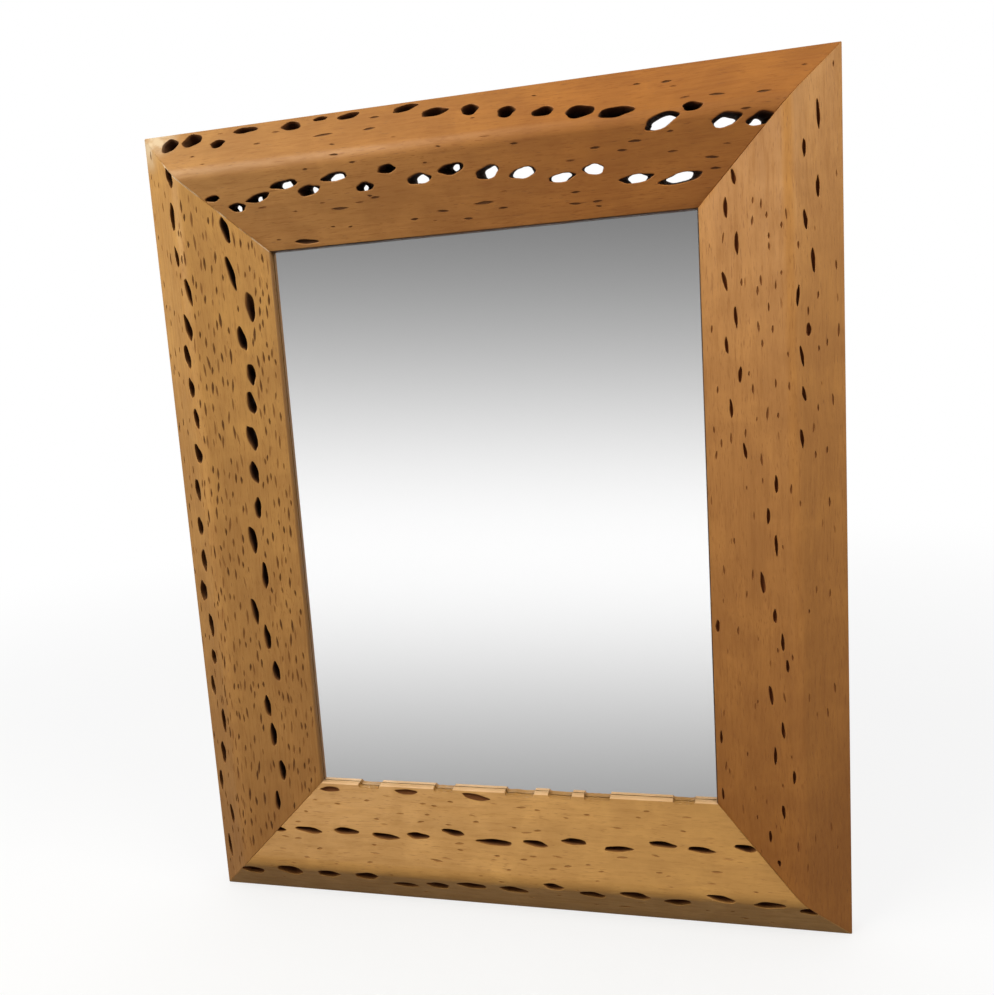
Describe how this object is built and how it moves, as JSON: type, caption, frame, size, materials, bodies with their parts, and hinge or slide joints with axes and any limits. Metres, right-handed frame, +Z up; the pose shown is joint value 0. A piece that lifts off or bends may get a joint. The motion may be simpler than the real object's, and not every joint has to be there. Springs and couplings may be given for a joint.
{
  "type": "wall mirror",
  "caption": "Upright rectangular wall mirror in a wide mitred moulding of cactus wood pierced by rows of natural almond-shaped pores, with D-ring hangers on its back.",
  "frame": {"origin": "centre of the bottom rail's flat underside", "axes": "+Z up along the long side, +X to the right of a viewer who looks into the glass, -Y out of the mirror's face, +Y into the wall"},
  "size_m": [0.456, 0.0455, 0.556],
  "materials": {
    "cactus_wood": "waxed, open pores",
    "beech": "raw",
    "hardboard": "raw",
    "cork": "raw",
    "nail_steel": "bright",
    "strap_steel": "zinc plated",
    "ring_steel": "nickel plated",
    "screw_brass": "bright",
    "bumper_rubber": "matt",
    "plate_glass": "polished",
    "amalgam": "silvered"
  },
  "bodies": {
    "frame": {"bottom_rail": "cactus_wood", "right_stile": "cactus_wood", "top_rail": "cactus_wood", "left_stile": "cactus_wood", "mirror_glass": "plate_glass", "silvering": "amalgam", "back_board": "hardboard", "edge_slips": "cork", "board_sprigs": "nail_steel", "bottom_left_corner_nails": "nail_steel", "bottom_left_spline": "beech", "bottom_right_corner_nails": "nail_steel", "bottom_right_spline": "beech", "top_right_corner_nails": "nail_steel", "top_right_spline": "beech", "top_left_corner_nails": "nail_steel", "top_left_spline": "beech", "left_hanger_strap": "strap_steel", "left_hanger_screws": "screw_brass", "left_bumper": "bumper_rubber", "right_hanger_strap": "strap_steel", "right_hanger_screws": "screw_brass", "right_bumper": "bumper_rubber"},
    "left_ring": {"left_hanger_ring": "ring_steel"},
    "right_ring": {"right_hanger_ring": "ring_steel"}
  },
  "joints": [
    {"name": "left_ring_hinge", "type": "hinge", "parent": "frame", "child": "left_ring", "pos_m": [-0.17, 0.01265, 0.394], "axis": [0, 0, 1], "range_deg": [0, 180]},
    {"name": "right_ring_hinge", "type": "hinge", "parent": "frame", "child": "right_ring", "pos_m": [0.17, 0.01265, 0.394], "axis": [0, 0, -1], "range_deg": [0, 180]}
  ]
}
